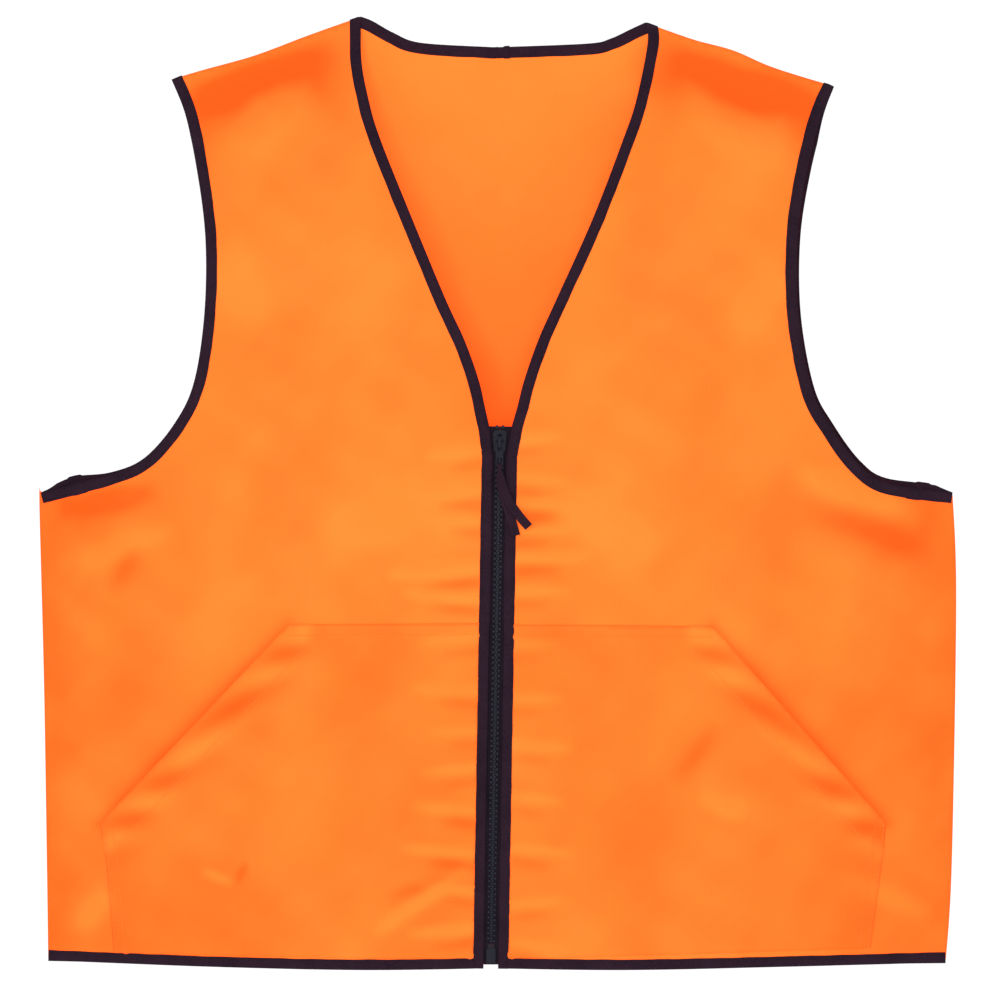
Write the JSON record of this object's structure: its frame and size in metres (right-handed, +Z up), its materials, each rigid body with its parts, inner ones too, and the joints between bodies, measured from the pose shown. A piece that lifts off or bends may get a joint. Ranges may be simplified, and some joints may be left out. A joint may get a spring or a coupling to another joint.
{
  "type": "high-visibility vest",
  "caption": "Sleeveless zip-front high-visibility vest with bound edges, V neck and two slanted patch pockets, standing filled out as if hung from the back neck.",
  "frame": {"origin": "the point the vest hangs from: the top edge of the binding at the centre of the back neck", "axes": "+Z up towards the shoulders, +Y out of the wearer's back, -Y out of the zipped front, +X to the wearer's left"},
  "size_m": [0.62, 0.0788, 0.6425],
  "materials": {
    "orange_fabric": "matt knitted polyester",
    "binding_tape": "folded knitted tape",
    "zip_tape": "woven tape",
    "zip_plastic": "satin",
    "painted_slider": "satin enamel",
    "ribbon": "folded knitted tape"
  },
  "bodies": {
    "garment": {"back_panel": "orange_fabric", "front_panel_right": "orange_fabric", "front_panel_left": "orange_fabric", "pocket_right": "orange_fabric", "pocket_left": "orange_fabric", "neck_binding_right": "binding_tape", "neck_binding_left": "binding_tape", "armhole_binding_right": "binding_tape", "armhole_binding_left": "binding_tape", "hem_binding": "binding_tape", "zip_tape_right": "zip_tape", "zip_tape_left": "zip_tape", "zip_teeth_right": "zip_plastic", "zip_teeth_left": "zip_plastic", "zip_top_stop_right": "zip_plastic", "zip_top_stop_left": "zip_plastic", "zip_retainer_box": "zip_plastic", "zip_box_pin": "zip_plastic", "zip_insertion_pin": "zip_plastic"},
    "slider": {"slider_front_plate": "painted_slider", "slider_back_plate": "painted_slider", "slider_crown": "painted_slider"},
    "pull": {"pull_tab": "painted_slider"},
    "ribbon": {"ribbon_front_strand": "ribbon", "ribbon_back_strand": "ribbon"}
  },
  "joints": [
    {"name": "zip_slide", "type": "slide", "parent": "garment", "child": "slider", "axis": [0.0171, 0, 0.9999], "range_m": [-0.333, 0]},
    {"name": "pull_lift", "type": "hinge", "parent": "slider", "child": "pull", "pos_m": [0.00186, -0.04115, -0.268], "axis": [-0.9999, 0, 0.0171], "range_deg": [0, 150]},
    {"name": "ribbon_swing", "type": "hinge", "parent": "pull", "child": "ribbon", "pos_m": [0.00159, -0.04115, -0.284], "axis": [-0.9999, 0, 0.0171], "range_deg": [-150, 0]}
  ],
  "couplings": [
    {"joint": "ribbon_swing", "follows": "pull_lift", "ratio": -1}
  ]
}
